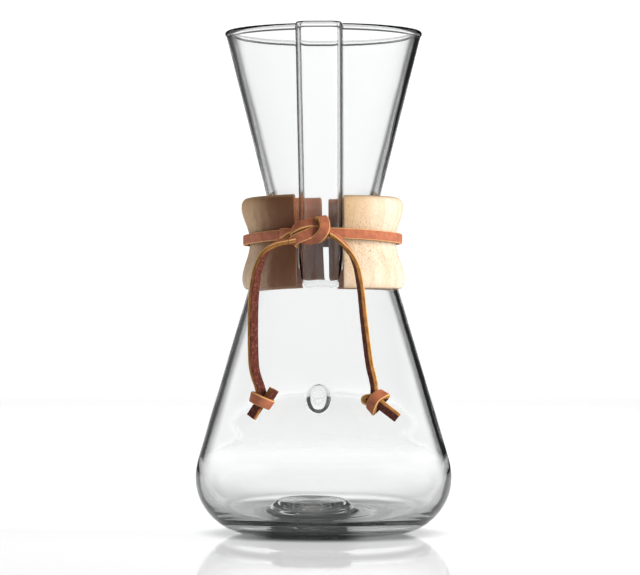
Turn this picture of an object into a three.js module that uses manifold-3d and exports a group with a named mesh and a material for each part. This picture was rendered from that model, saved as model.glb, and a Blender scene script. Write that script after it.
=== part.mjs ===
// Hourglass pour-over coffee maker: a one-piece glass vessel, a two-half turned wood collar round its
// waist, and a leather lace that ties the halves on and hangs in front in two knotted tails.
// Millimetres, +Z up, the pouring spout faces -Y, and the origin is the middle of the base.
import * as THREE from "three";
import { mergeVertices } from "three/addons/utils/BufferGeometryUtils.js";
import Module from "manifold-3d";

const wasm = await Module();
wasm.setup();

// ---- driving dimensions -------------------------------------------------------------------------
const vesselHeight = 213;
const flask = { cornerRadius: 24.2, cornerCentre: 30.4, sideSlope: 0.3 };
const funnel = { slope: 0.254, radiusAt150: 25.9 };
const waistBlend = 4.8; // softness of the waist where the flask and the funnel meet
const wall = 2.3;
const beadRadius = 1.5;
const base = { ringInner: 24.5, puntRise: 6, puntTop: 12, floor: 4.8, floorRise: 6, floorFoot: 28 };
const channel = { rimHalfWidth: 9.5, neckHalfWidth: 8.9, depth: 8.6, lowFront: 31.3, fold: 1.6, corner: 5 };
const button = { height: 59, radius: 4.6, stands: 2.6 };

const collar = { top: 142.6, bottom: 103.8, play: 0.55, frontGap: 9.7, backGap: 1.1, leftTilt: 2 };
const lace = { width: 4.3, thickness: 2.2 };
const band = { radius: 32.3, ease: 0.7, height: 124.4, frontRise: 2.3, lean: 0.35, hingeGap: 0.15 };

const colours = {
  glass: { color: 0xe9f1f0, roughness: 0.02, metalness: 0, transparent: true, opacity: 0.35 },
  wood: { color: 0xe3c19a, roughness: 0.5, metalness: 0 },
  leather: { color: 0xa8582f, roughness: 0.65, metalness: 0 },
};
const finish = Object.fromEntries(
  Object.entries(colours).map(([name, look]) => [name, new THREE.MeshStandardMaterial(look)]),
);

// ---- small helpers ------------------------------------------------------------------------------
const softMax = (a, b, k) => Math.max(a, b) + (Math.max(k - Math.abs(a - b), 0) / k) ** 2 * (k / 4);
const { smoothstep, degToRad } = THREE.MathUtils;
const steps = (from, to, count) =>
  Array.from({ length: count + 1 }, (_, i) => from + ((to - from) * i) / count);

function part(name, geometry, material) {
  const mesh = new THREE.Mesh(geometry, finish[material]);
  mesh.name = name;
  return mesh;
}

// A closed geometry as a manifold-3d solid.
function solidOf(geometry) {
  const bare = (geometry.index ? geometry.toNonIndexed() : geometry.clone())
    .deleteAttribute("normal")
    .deleteAttribute("uv");
  const merged = mergeVertices(bare, 1e-3);
  return new wasm.Manifold(
    new wasm.Mesh({
      numProp: 3,
      vertProperties: merged.attributes.position.array,
      triVerts: new Uint32Array(merged.index.array),
    }),
  );
}

function geometryOf(solid) {
  const mesh = solid.getMesh();
  return new THREE.BufferGeometry()
    .setAttribute("position", new THREE.BufferAttribute(mesh.vertProperties, 3))
    .setIndex(new THREE.BufferAttribute(mesh.triVerts, 1));
}

// ---- the glass vessel ---------------------------------------------------------------------------
// The flask's side leaves the corner arc where the arc's slope matches the side's.
const sideAngle = Math.atan(flask.sideSlope);
const sideStart = {
  radius: flask.cornerCentre + flask.cornerRadius * Math.cos(sideAngle),
  height: flask.cornerRadius * (1 + Math.sin(sideAngle)),
};
const flaskLine = (z) => sideStart.radius - flask.sideSlope * (z - sideStart.height);
const funnelLine = (z) => funnel.radiusAt150 + funnel.slope * (z - 150);
const glassRadius = (z) => softMax(flaskLine(z), funnelLine(z), waistBlend);

// The spout channel is a trough pressed out of the funnel's front. It keeps its depth down the funnel,
// runs straight down past the waist, and dies out where the flask has widened to meet it.
const channelFront = (z) => softMax(funnelLine(z) + channel.depth, channel.lowFront, 2);
const channelHalfWidth = (z) =>
  channel.neckHalfWidth +
  (channel.rimHalfWidth - channel.neckHalfWidth) * Math.max(0, (z - 140) / (vesselHeight - 140));

// The distance from the axis, at angle phi from the front, to a flat front with rounded sides.
function troughRadius(phi, front, halfWidth, corner) {
  const [sine, cosine] = [Math.abs(Math.sin(phi)), Math.cos(phi)];
  const [centreX, centreY] = [halfWidth - corner, front - corner];
  if ((front * sine) / cosine <= centreX) return front / cosine;
  const along = centreX * sine + centreY * cosine;
  const inside = corner ** 2 - (centreX ** 2 + centreY ** 2 - along ** 2);
  const onCorner = along + Math.sqrt(Math.max(inside, 0));
  return inside > 0 && onCorner * cosine >= centreY ? onCorner : halfWidth / sine;
}

// The distance from the axis to one surface of the wall at angle phi from the front.
// inset is 0 on the outer surface and the wall's thickness on the inner one.
function wallRadius(z, phi, inset, radius, hasChannel) {
  const round = radius - inset;
  if (!hasChannel || Math.cos(phi) <= 0.5) return round;
  const trough = troughRadius(
    phi,
    channelFront(z) - inset,
    channelHalfWidth(z) - inset,
    channel.corner - inset,
  );
  return softMax(round, trough, channel.fold);
}

// Angles round one section, evenly spaced along the surface: closely over the channel, widely behind.
const channelSteps = 14;
const backSteps = 11;
function sectionAngles(z, inset, radius, hasChannel) {
  const fine = steps(0, Math.PI, 720);
  const along = [0];
  let last = null;
  fine.forEach((phi, i) => {
    const r = wallRadius(z, phi, inset, radius, hasChannel);
    const point = [r * Math.sin(phi), r * Math.cos(phi)];
    if (i) along.push(along[i - 1] + Math.hypot(point[0] - last[0], point[1] - last[1]));
    last = point;
  });
  const total = along.at(-1);
  const nearFront = Math.min(24, 0.4 * total);
  const marks = [
    ...steps(0, nearFront, channelSteps),
    ...steps(nearFront, total, backSteps).slice(1),
  ];
  let k = 0;
  return marks.map((mark) => {
    while (k < along.length - 2 && along[k + 1] < mark) k += 1;
    const share = (mark - along[k]) / Math.max(along[k + 1] - along[k], 1e-9);
    return fine[k] + (fine[k + 1] - fine[k]) * Math.min(share, 1);
  });
}

// Stations go up the outside from the base's middle, over the rim's bead and down the inside.
function vesselStations() {
  const stations = [];
  const plain = (radius, z) => stations.push({ radius, z, inset: 0, hasChannel: false });
  const onWall = (z, inset) =>
    stations.push({ radius: glassRadius(z), z, inset, hasChannel: true });

  for (const radius of [8, 14, 17, 20, 22.5, base.ringInner])
    plain(radius, base.puntRise * (1 - smoothstep(radius, base.puntTop, base.ringInner)));
  for (const angle of steps(-Math.PI / 2, sideAngle, 8))
    plain(
      flask.cornerCentre + flask.cornerRadius * Math.cos(angle),
      flask.cornerRadius * (1 + Math.sin(angle)),
    );
  const beadHeight = vesselHeight - beadRadius;
  const heights = [50, 70, 86, 94, 99, 103, 107, 112, 118, 124, 130, 135, 140, 148, 165, 185, 203];
  heights.forEach((z) => onWall(z, 0));
  for (const angle of steps(degToRad(-35), degToRad(215), 8))
    onWall(beadHeight + beadRadius * Math.sin(angle), wall / 2 - beadRadius * Math.cos(angle));
  heights.reverse().forEach((z) => onWall(z, wall));

  // The inner corner sits higher than the outer one, so the base is about twice as thick as the side.
  const innerCorner = flask.cornerRadius - wall;
  for (const angle of steps(sideAngle, -Math.PI / 2, 7))
    plain(
      flask.cornerCentre + innerCorner * Math.cos(angle) - 0.3,
      base.floor + innerCorner * (1 + Math.sin(angle)),
    );
  for (const radius of [26, 22, 18, 14, 8])
    plain(radius, base.floor + base.floorRise * (1 - smoothstep(radius, base.puntTop, base.floorFoot)));
  return stations;
}

// A skin over rings of points, closed at each end by a fan to a point on the axis.
function lofted(rings, firstCentre, lastCentre) {
  const count = rings[0].length;
  const points = [...rings.flat(), firstCentre, lastCentre];
  const faces = [];
  rings.slice(1).forEach((_, i) => {
    for (let j = 0; j < count; j += 1) {
      const a = i * count + j;
      const b = i * count + ((j + 1) % count);
      faces.push(a, b, b + count, a, b + count, a + count);
    }
  });
  const first = rings.length * count;
  const last = first + 1;
  const top = (rings.length - 1) * count;
  for (let j = 0; j < count; j += 1) {
    faces.push(first, (j + 1) % count, j);
    faces.push(last, top + j, top + ((j + 1) % count));
  }
  return new THREE.BufferGeometry()
    .setAttribute("position", new THREE.Float32BufferAttribute(points.flat(), 3))
    .setIndex(faces);
}

function vesselBody() {
  const rings = vesselStations().map(({ radius, z, inset, hasChannel }) => {
    const half = sectionAngles(z, inset, radius, hasChannel);
    const mirrored = half.slice(1, -1).reverse().map((phi) => 2 * Math.PI - phi);
    return [...half, ...mirrored].map((phi) => {
      const r = wallRadius(z, phi, inset, radius, hasChannel);
      return [r * Math.sin(phi), -r * Math.cos(phi), z];
    });
  });
  return lofted(rings, [0, 0, base.puntRise], [0, 0, base.floor + base.floorRise]);
}

// The raised glass button on the flask's front marks the half-full level.
function glassVessel() {
  const bump = new THREE.SphereGeometry(button.radius, 20, 12)
    .scale(1, (button.stands + 1) / button.radius, 1)
    .rotateX(-sideAngle)
    .translate(0, 1 - glassRadius(button.height), button.height);
  return geometryOf(solidOf(vesselBody()).add(solidOf(bump)));
}

// ---- the wood collar ----------------------------------------------------------------------------
// Outline of the collar's wall, radius and height: the outside from top to bottom, then the inside up.
function collarOutline() {
  const outside = new THREE.CatmullRomCurve3(
    [
      [30.4, collar.top],
      [32.4, 142.0],
      [33.6, 140.2],
      [33.8, 137.4],
      [33.1, 134.2],
      [31.8, 130.4],
      [30.85, 126.4],
      [30.85, 122.4],
      [31.9, 117.9],
      [33.6, 113.2],
      [34.5, 109.4],
      [34.4, 106.4],
      [33.7, 104.5],
      [33.0, collar.bottom],
    ].map(([radius, z]) => new THREE.Vector3(radius, z, 0)),
    false,
    "centripetal",
  ).getPoints(17);
  const inside = steps(collar.bottom, collar.top, 8).map(
    (z) => new THREE.Vector3(glassRadius(z) + collar.play, z, 0),
  );
  return [...outside, ...inside, outside[0]].map((p) => new THREE.Vector2(p.x, p.y));
}

function collarHalf(side) {
  const ring = new THREE.LatheGeometry(collarOutline().reverse(), 64).rotateX(Math.PI / 2);
  const room = 50;
  const block = (low, high) => {
    const size = high.map((value, i) => value - low[i]);
    return solidOf(
      new THREE.BoxGeometry(...size).translate(...low.map((value, i) => value + size[i] / 2)),
    );
  };
  const span = (from) => (side < 0 ? [-room, -from] : [from, room]);
  const [frontLow, frontHigh] = span(collar.frontGap);
  const [backLow, backHigh] = span(collar.backGap);
  const keep = block([frontLow, -room, 90], [frontHigh, 0.01, 160]).add(
    block([backLow, 0, 90], [backHigh, room, 160]),
  );
  return geometryOf(solidOf(ring).intersect(keep));
}

// ---- the leather lace ---------------------------------------------------------------------------
// The lace's cross-section, across its width and its thickness, with the long edges softened.
const laceSection = (() => {
  const [x, y, cut] = [lace.width / 2, lace.thickness / 2, 0.4];
  return [
    [x, y - cut],
    [x - cut, y],
    [cut - x, y],
    [-x, y - cut],
    [-x, cut - y],
    [cut - x, -y],
    [x - cut, -y],
    [x, cut - y],
  ];
})();

// A length of lace along the points. facing gives the way its smooth side looks at a share of the way.
function laceAlong(points, count, facing) {
  const path = new THREE.CatmullRomCurve3(
    points.map((p) => new THREE.Vector3(...p)),
    false,
    "centripetal",
  );
  const rings = steps(0, 1, count).map((share) => {
    const centre = path.getPointAt(share);
    const along = path.getTangentAt(share);
    const out = facing(share, centre);
    out.addScaledVector(along, -out.dot(along)).normalize();
    const across = out.clone().cross(along);
    return laceSection.map(([a, b]) =>
      centre.clone().addScaledVector(across, a).addScaledVector(out, b).toArray(),
    );
  });
  return lofted(rings, path.getPointAt(0).toArray(), path.getPointAt(1).toArray());
}

// Half of the band, from the back's middle round one side to behind the knot. It leaves the wood just
// before the collar's front gap and runs nearly straight across the spout channel.
function bandHalf(side, frontEnd) {
  const leaving = 30;
  const askew = side < 0 ? band.ease : 0;
  const hinge = (Math.asin(band.hingeGap / band.radius) * 180) / Math.PI;
  const climb = (angle) => ((1 + Math.cos(angle)) / 2) ** 4;
  const round = steps(180 - hinge, leaving, 18).map((degrees) => {
    const angle = degToRad(degrees);
    const radius = band.radius + band.ease * climb(angle);
    return [
      side * (radius + askew) * Math.sin(angle),
      -radius * Math.cos(angle),
      band.height + side * band.lean * Math.sin(angle) + band.frontRise * climb(angle),
    ];
  });
  const frontHeight = band.height + band.frontRise;
  const front = [
    [side * 12, -30.6, frontHeight - 0.2],
    [side * 8.5, -32.0, frontHeight],
    [side * 5, -32.75, frontHeight],
    [frontEnd, -32.95, frontHeight],
  ];
  return laceAlong(
    [...round, ...front],
    38,
    (share, centre) => new THREE.Vector3(centre.x, centre.y, 0),
  );
}

// One side of the main knot, as the block that its turns fill: an outline in x and z, given a depth.
const knotBack = -34.4;
function knotBlock(outline, front) {
  const shape = new THREE.Shape(outline.map(([x, z]) => new THREE.Vector2(x, z)));
  return new THREE.ExtrudeGeometry(shape, { depth: knotBack - front, bevelEnabled: false })
    .rotateX(Math.PI / 2)
    .translate(0, knotBack, 0);
}
const leftKnotOutline = [
  [-11.9, 122.6],
  [-12.2, 127.8],
  [-9.7, 130.9],
  [-6.4, 132.1],
  [-1.2, 132.1],
  [-1.8, 127.9],
  [-4.0, 124.6],
  [-3.3, 122.4],
  [-6.4, 122.2],
  [-10.8, 121.4],
];
const rightKnotOutline = [
  [-0.8, 132.4],
  [1.4, 133.1],
  [4.3, 130.4],
  [4.1, 127.8],
  [3.0, 125.4],
  [1.4, 123.5],
  [-2.6, 122.2],
  [-3.6, 124.4],
  [-1.4, 127.7],
];

// The tails' routes, from where they leave the knot to their end knots. They fall in front of the
// collar's lower lip and come to rest on the widening flask. Each tail has its flesh side turned in
// under the curve; the twist is how far that side comes round to the front on the way down.
const tails = {
  left: {
    twist: 50,
    outward: -1,
    route: [
      [-12.8, -38.2, 123.2],
      [-15.4, -38.2, 122.7],
      [-17.3, -38.2, 122.2],
      [-19.7, -38.3, 121.0],
      [-21.4, -38.3, 119.7],
      [-22.7, -38.4, 118.1],
      [-23.8, -38.5, 116.2],
      [-24.7, -38.6, 113.9],
      [-25.5, -38.7, 111.3],
      [-26.2, -38.9, 108.4],
      [-27.0, -39.2, 101.4],
      [-27.3, -39.8, 92.7],
      [-27.3, -40.6, 82.9],
      [-27.0, -41.6, 73.8],
      [-26.5, -42.2, 70.1],
      [-25.6, -42.9, 66.8],
      [-24.6, -43.6, 64.3],
    ],
  },
  right: {
    twist: 23,
    outward: 1,
    route: [
      [4.7, -38.4, 126.1],
      [6.9, -38.4, 124.9],
      [8.8, -38.5, 123.2],
      [10.8, -38.5, 120.9],
      [12.5, -38.6, 118.7],
      [13.9, -38.7, 116.2],
      [15.1, -38.8, 113.4],
      [15.9, -38.9, 110.4],
      [17.1, -39.3, 103.4],
      [18.0, -39.8, 94.8],
      [19.1, -40.5, 84.9],
      [20.4, -41.4, 75.0],
      [21.1, -42.0, 70.9],
      [22.0, -42.8, 67.3],
      [22.7, -43.5, 64.2],
    ],
  },
};

function tail({ twist, outward, route }) {
  return laceAlong(route, 36, (share) => {
    const fall = smoothstep(share, 0, 0.35);
    const turn = degToRad(twist) * smoothstep(share, 0, 0.6);
    return new THREE.Vector3(
      outward * fall * Math.cos(turn),
      Math.sin(turn) - 0.3 * (1 - fall),
      1.02 - fall,
    );
  });
}

// A tail's end knot: the lump of its turns, and the cut end of the lace that stands out below it.
function endKnot(centre, lean, endLength) {
  const lump = new THREE.SphereGeometry(1, 16, 10).scale(5.3, 3.8, 4.2);
  const cutEnd = new THREE.BoxGeometry(lace.width, lace.thickness, endLength)
    .translate(0, 0, -endLength / 2)
    .rotateY(lean);
  return geometryOf(solidOf(cutEnd).add(solidOf(lump.rotateY(lean / 3)))).translate(...centre);
}

// ---- the assembly -------------------------------------------------------------------------------
const maker = new THREE.Group();
maker.add(part("glass_vessel", glassVessel(), "glass"));

// The left half of the collar sits a little askew under the lace, its front end raised.
const tilt = new THREE.Group();
const leftCentre = [-22, 0, 123.2];
tilt.position.set(leftCentre[0] - 0.5, leftCentre[1], leftCentre[2]);
tilt.rotation.y = -degToRad(collar.leftTilt);
tilt.add(
  part(
    "collar_half_left",
    collarHalf(-1).translate(...leftCentre.map((value) => -value)),
    "wood",
  ),
);
maker.add(tilt);
maker.add(part("collar_half_right", collarHalf(1), "wood"));

maker.add(part("tie_band_left", bandHalf(-1, -1.2), "leather"));
maker.add(part("tie_band_right", bandHalf(1, -0.5), "leather"));
maker.add(part("tie_knot_left", knotBlock(leftKnotOutline, -40.2), "leather"));
maker.add(part("tie_knot_right", knotBlock(rightKnotOutline, -41.0), "leather"));
maker.add(part("tie_tail_left", tail(tails.left), "leather"));
maker.add(part("tie_tail_right", tail(tails.right), "leather"));
maker.add(part("tie_end_knot_left", endKnot([-22.3, -45.0, 59.3], 0.57, 9.4), "leather"));
maker.add(part("tie_end_knot_right", endKnot([23.3, -44.7, 58.6], -0.91, 10.9), "leather"));

export default maker;
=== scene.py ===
"""An hourglass pour-over coffee maker: blown glass, a turned wood collar and a knotted leather lace.

Every size is in metres. The vessel stands on the floor at the origin, its pouring spout faces -Y and +Z is
up. Each operator makes one piece, or a group of like pieces, from the sizes in the sidebar panel.
"""

import math

import bmesh
import bpy
from mathutils import Matrix, Vector


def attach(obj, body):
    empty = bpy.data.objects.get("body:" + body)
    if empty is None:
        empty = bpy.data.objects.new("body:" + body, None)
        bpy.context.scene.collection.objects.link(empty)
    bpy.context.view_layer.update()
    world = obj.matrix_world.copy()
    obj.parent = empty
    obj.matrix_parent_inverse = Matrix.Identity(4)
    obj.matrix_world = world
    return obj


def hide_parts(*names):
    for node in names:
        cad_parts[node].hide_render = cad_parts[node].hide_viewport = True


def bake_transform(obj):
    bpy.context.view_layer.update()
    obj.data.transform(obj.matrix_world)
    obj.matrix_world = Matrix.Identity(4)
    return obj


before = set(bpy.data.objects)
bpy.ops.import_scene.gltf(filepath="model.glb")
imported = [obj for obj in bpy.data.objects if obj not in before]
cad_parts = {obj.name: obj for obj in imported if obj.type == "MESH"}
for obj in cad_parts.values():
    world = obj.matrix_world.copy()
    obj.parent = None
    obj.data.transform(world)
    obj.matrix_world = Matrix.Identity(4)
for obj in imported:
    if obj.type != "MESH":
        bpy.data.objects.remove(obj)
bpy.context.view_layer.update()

bl_info = {
    "name": "Hourglass coffee maker",
    "version": (1, 0, 0),
    "blender": (4, 5, 0),
    "location": "3D Viewport > Sidebar > Coffee maker",
    "description": "Builds a glass pour-over coffee maker with a wood collar and a leather tie",
    "category": "Add Mesh",
}

MM = 0.001
LACE_ATTRIBUTE = "lace"
FACING_ATTRIBUTE = "facing"


# ---- settings -------------------------------------------------------------------------------------
def length(name, description, millimetres):
    return bpy.props.FloatProperty(
        name=name, description=description, default=millimetres * MM, min=0.0, unit="LENGTH", precision=5
    )


def number(name, description, default, low=0.0):
    return bpy.props.FloatProperty(name=name, description=description, default=default, min=low)


def degrees(name, description, default):
    return bpy.props.FloatProperty(
        name=name, description=description, default=math.radians(default), subtype="ANGLE"
    )


def colour(name, description, red, green, blue):
    return bpy.props.FloatVectorProperty(
        name=name,
        description=description,
        default=(red, green, blue),
        min=0.0,
        max=1.0,
        size=3,
        subtype="COLOR",
    )


class GlassSettings(bpy.types.PropertyGroup):
    """Sizes and colour of the glass vessel."""

    height: length("Height", "From the floor to the top of the rim", 213)
    wall: length("Wall", "Thickness of the glass", 2.3)
    bead: length("Rim bead", "Radius of the rounded rim", 1.5)
    corner_radius: length("Corner radius", "Radius of the flask's rounded foot", 24.2)
    corner_centre: length("Corner centre", "Distance from the axis to the foot's centre of curve", 30.4)
    waist_blend: length("Waist softness", "How softly the flask turns into the funnel", 4.8)
    channel_depth: length("Channel depth", "How far the spout channel stands out of the funnel", 8.6)
    channel_rim: length("Channel at rim", "Half the channel's width at the rim", 9.5)
    channel_neck: length("Channel at neck", "Half the channel's width at the waist", 8.9)
    channel_low: length("Channel at waist", "From the axis to the channel's straight lower part", 31.3)
    channel_corner: length("Channel corner", "Radius of the channel's long outer edges", 5.0)
    button_height: length("Button height", "Height of the button's middle above the floor", 58.4)
    button_radius: length("Button radius", "Radius of the raised button", 4.6)
    button_stand: length("Button stand", "How far the button stands out", 2.7)
    tint: colour("Tint", "Colour of the glass's surface", 0.993, 0.998, 0.996)
    depth_colour: colour("Depth colour", "Colour that light takes on in thick glass", 0.5, 0.53, 0.52)
    depth_density: number("Depth density", "How fast thick glass takes light away, per metre", 22.0)


class CollarSettings(bpy.types.PropertyGroup):
    """Sizes and colours of the wood collar."""

    top: length("Top", "Height of the collar's top face", 142.6)
    bottom: length("Bottom", "Height of the collar's lower face", 103.8)
    play: length("Play", "Gap between the wood and the glass", 0.55)
    front_gap: length("Front gap", "Half the gap between the halves in front", 9.7)
    back_gap: length("Back gap", "Half the gap between the halves behind", 1.1)
    left_tilt: degrees("Left tilt", "How far the left half sits askew", 2.0)
    left_shift: length("Left shift", "How far the left half sits out from the glass", 0.5)
    pale: colour("Pale wood", "The lightest wood", 0.84, 0.71, 0.57)
    # The darker streaks; this colour also paints the shade towards the front's middle.
    streak_and_shade: colour("Deep wood", "The darker streaks", 0.62, 0.42, 0.23)
    fleck: colour("Fleck", "The short dark flecks", 0.22, 0.10, 0.05)
    # Painted shade: the inside of the collar is painted this darker colour.
    bore_shade: colour("Bore", "The rougher wood inside the collar", 0.62, 0.22, 0.12)
    # Painted shade: this brown paints the shade over the left half's front.
    left_shade: colour("Painted shade", "The browner wood of the left half", 0.17, 0.060, 0.026)


class LaceSettings(bpy.types.PropertyGroup):
    """Sizes and colours of the leather lace."""

    width: length("Width", "Width of the lace", 4.3)
    thickness: length("Thickness", "Thickness of the lace", 2.2)
    edge_radius: length("Edge radius", "Rounding of the lace's long edges", 0.45)
    spacing: length("Spacing", "Distance between the points that the lace's surface is made of", 0.3)
    unevenness: length("Unevenness", "How lumpy the lace's surface is", 0.16)
    band_radius: length("Band radius", "From the axis to the middle of the band", 32.3)
    band_height: length("Band height", "Height of the band at the back", 124.4)
    band_ease: length("Band ease", "How far the band stands off the wood in front", 0.7)
    band_rise: length("Band rise", "How much higher the band is in front", 2.3)
    band_lean: length("Band lean", "How much higher the band is on the right side", 0.35)
    smooth_side: colour("Smooth side", "The polished outer side", 0.50, 0.162, 0.080)
    cut_edge: colour("Cut edge", "The raw cut edge", 0.52, 0.23, 0.065)
    corner: colour("Corner", "The bright line where the smooth side meets the cut edge", 0.92, 0.54, 0.21)
    # Partly a painted highlight: the glint on the lace's rounded edges is painted into this colour.
    rough_side: colour("Rough side", "The suede inner side", 0.17, 0.045, 0.03)
    lifted: colour("Lifted fibres", "The paler fibres that stand up from the suede", 0.40, 0.15, 0.11)


class StageSettings(bpy.types.PropertyGroup):
    """Camera, floor and lights."""

    distance: length("Camera distance", "From the object's axis to the camera", 1250)
    eye_height: length("Eye height", "Height of the camera above the floor", 97)
    aim_height: length("Aim height", "Height of the point that the camera looks at", 104.3)
    aim_left: length("Aim left", "How far left of the axis the camera looks", 1.5)
    azimuth: degrees("Azimuth", "How far the camera stands to the right of straight ahead", 2.6)
    lens: number("Lens", "Focal length in millimetres", 165.4, 1.0)
    floor_radius: length("Floor radius", "Radius of the flat floor before the backdrop curves up", 1900)
    cove_radius: length("Cove radius", "Radius of the backdrop's curve from the floor to the wall", 500)
    wall_top: length("Wall top", "Height of the backdrop's wall", 2200)
    key_power: number("Key light", "Power of the large softbox at the right", 34.0)
    fill_power: number("Fill light", "Power of the softbox at the left", 7.0)
    top_power: number("Top light", "Power of the softbox overhead", 1.5)
    glow: number("Backdrop glow", "Brightness of the lit backdrop", 0.70)
    floor_glow: number("Floor glow", "Brightness of the floor's middle as a share of the backdrop's", 0.5)
    floor_edge: number("Floor falloff", "Brightness of the floor's edge as a share of its middle's", 0.63)
    room_light: number("Room light", "Strength of the even light from all round", 0.12)


# ---- the glass vessel's shape ---------------------------------------------------------------------
def smooth_max(a, b, blend):
    """The larger of a and b, with the corner where they cross rounded off."""
    overlap = max(blend - abs(a - b), 0.0) / blend
    return max(a, b) + overlap * overlap * blend / 4


def smooth_step(value, low, high):
    """0 below low, 1 above high, and a soft rise between them."""
    share = min(max((value - low) / (high - low), 0.0), 1.0)
    return share * share * (3 - 2 * share)


def spread(start, end, count):
    """The ends and the even steps between them, count steps in all."""
    return [start + (end - start) * i / count for i in range(count + 1)]


class VesselShape:
    """The vessel's wall as a distance from the axis, at any height and angle from the front."""

    # The flask's straight side and the funnel: their slopes, and a point on the funnel.
    side_slope = 0.3
    funnel_slope = 0.254
    funnel_at = (25.9 * MM, 150 * MM)
    # Where the rings of the surface lie closest, and the part of a circle that rounds the rim.
    waist_zone = (92 * MM, 150 * MM)
    bead_arc = (math.radians(-40), math.radians(220))
    # The pouring channel: its thinner glass, its softened bends and its rounded lower end.
    channel_thinness = 0.55
    channel_blend = 2 * MM
    flare_from = 140 * MM
    fold = 1.6 * MM
    nose_top = 108 * MM
    nose_length = 4.5 * MM
    nose_depth = 4 * MM
    # The base: the ring it stands on, the hollow under its middle, and the flask's floor above that.
    hub = 1.5 * MM
    off_centre = 5 * MM
    ring_inner = 24.5 * MM
    rise_edge = (14 * MM, 21 * MM)
    punt_rise = 6 * MM
    floor_low = 4.8 * MM
    floor_rise = 6 * MM
    floor_inset = 0.3 * MM

    def __init__(self, glass):
        self.glass = glass
        self.side_angle = math.atan(self.side_slope)
        self.side_from = (
            glass.corner_centre + glass.corner_radius * math.cos(self.side_angle),
            glass.corner_radius * (1 + math.sin(self.side_angle)),
        )

    def funnel(self, z):
        radius, height = self.funnel_at
        return radius + self.funnel_slope * (z - height)

    def radius(self, z):
        """Distance from the axis to the outside of the round wall."""
        radius, height = self.side_from
        return smooth_max(radius - self.side_slope * (z - height), self.funnel(z), self.glass.waist_blend)

    def channel_front(self, z):
        front = self.funnel(z) + self.glass.channel_depth
        return smooth_max(front, self.glass.channel_low, self.channel_blend)

    def nose(self, z):
        """How far the channel's front draws back at its rounded lower end."""
        share = min(max((self.nose_top - z) / self.nose_length, 0.0), 1.0)
        return self.nose_depth * (1 - math.sqrt(1 - share * share))

    def channel_half_width(self, z):
        neck, rim = self.glass.channel_neck, self.glass.channel_rim
        return neck + (rim - neck) * max(0.0, (z - self.flare_from) / (self.glass.height - self.flare_from))

    def trough(self, z, phi, inset):
        """Distance from the axis to the channel's flat front with its rounded sides."""
        inset *= self.channel_thinness
        front = self.channel_front(z) - inset - self.nose(z)
        half_width = self.channel_half_width(z) - inset
        corner = self.glass.channel_corner - inset
        sine, cosine = math.sin(phi), math.cos(phi)
        across, ahead = half_width - corner, front - corner
        if front * sine / cosine <= across:
            return front / cosine
        along = across * sine + ahead * cosine
        inside = corner**2 - (across**2 + ahead**2 - along**2)
        on_corner = along + math.sqrt(max(inside, 0.0))
        if inside > 0 and on_corner * cosine >= ahead:
            return on_corner
        return half_width / sine

    def wall(self, z, phi, inset, round_radius, has_channel):
        """Distance from the axis to the outside (inset 0) or the inside (inset the wall) at an angle."""
        if not has_channel or math.cos(phi) <= 0.5:
            return round_radius - inset
        fold = self.fold * (0.4 + 0.6 * smooth_step(z, self.nose_top, self.nose_top + 12 * MM))
        return smooth_max(round_radius - inset, self.trough(z, phi, inset), fold)

    def angles(self, z, inset, round_radius, has_channel, near, far):
        """Angles round half a section: closely spaced over the channel, widely spaced behind it."""
        fine = spread(0.0, math.pi, 720)
        along = [0.0]
        last = None
        for i, phi in enumerate(fine):
            r = self.wall(z, phi, inset, round_radius, has_channel)
            point = (r * math.sin(phi), r * math.cos(phi))
            if i:
                along.append(along[-1] + math.dist(point, last))
            last = point
        close = min(24 * MM, 0.4 * along[-1])
        result = []
        k = 0
        for mark in spread(0.0, close, near) + spread(close, along[-1], far)[1:]:
            while k < len(along) - 2 and along[k + 1] < mark:
                k += 1
            share = (mark - along[k]) / max(along[k + 1] - along[k], 1e-12)
            result.append(fine[k] + (fine[k + 1] - fine[k]) * min(share, 1.0))
        return result

    def stations(self):
        """Rings of the surface, as (radius, height, inset, has_channel): up the outside, down the inside."""
        glass = self.glass
        rows = []

        def plain(radius, z):
            rows.append((radius, z, 0.0, False))

        for radius in spread(self.hub, self.ring_inner, 56):
            rise = self.punt_rise * self.raised(radius)
            plain(radius, max(rise + 1.6 * self.ripple(radius, self.ring_inner), 0.0))
        for radius in spread(self.ring_inner, glass.corner_centre, 4)[1:-1]:
            plain(radius, 0.0)
        for angle in spread(-math.pi / 2, self.side_angle, 56):
            z = glass.corner_radius * (1 + math.sin(angle))
            plain(glass.corner_centre + (glass.corner_radius + self.ridge(z)) * math.cos(angle), z)
        waist_low, waist_high = self.waist_zone
        bead_height = glass.height - glass.bead
        bead_start = bead_height - 1.2 * MM
        low, high = glass.button_height - 6.4 * MM, glass.button_height + 6.4 * MM
        heights = spread(self.side_from[1], low, 8)[1:-1]
        heights += spread(low, high, 32)
        heights += spread(high, waist_low, 10)[1:-1]
        heights += spread(waist_low, waist_high, 52)
        heights += spread(waist_high, bead_start, 26)[1:]
        rows.extend((self.radius(z), z, 0.0, True) for z in heights)
        for angle in spread(*self.bead_arc, 16):
            z = bead_height + glass.bead * math.sin(angle)
            inset = glass.wall / 2 - glass.bead * math.cos(angle)
            rows.append((self.radius(z), z, inset, True))

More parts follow.
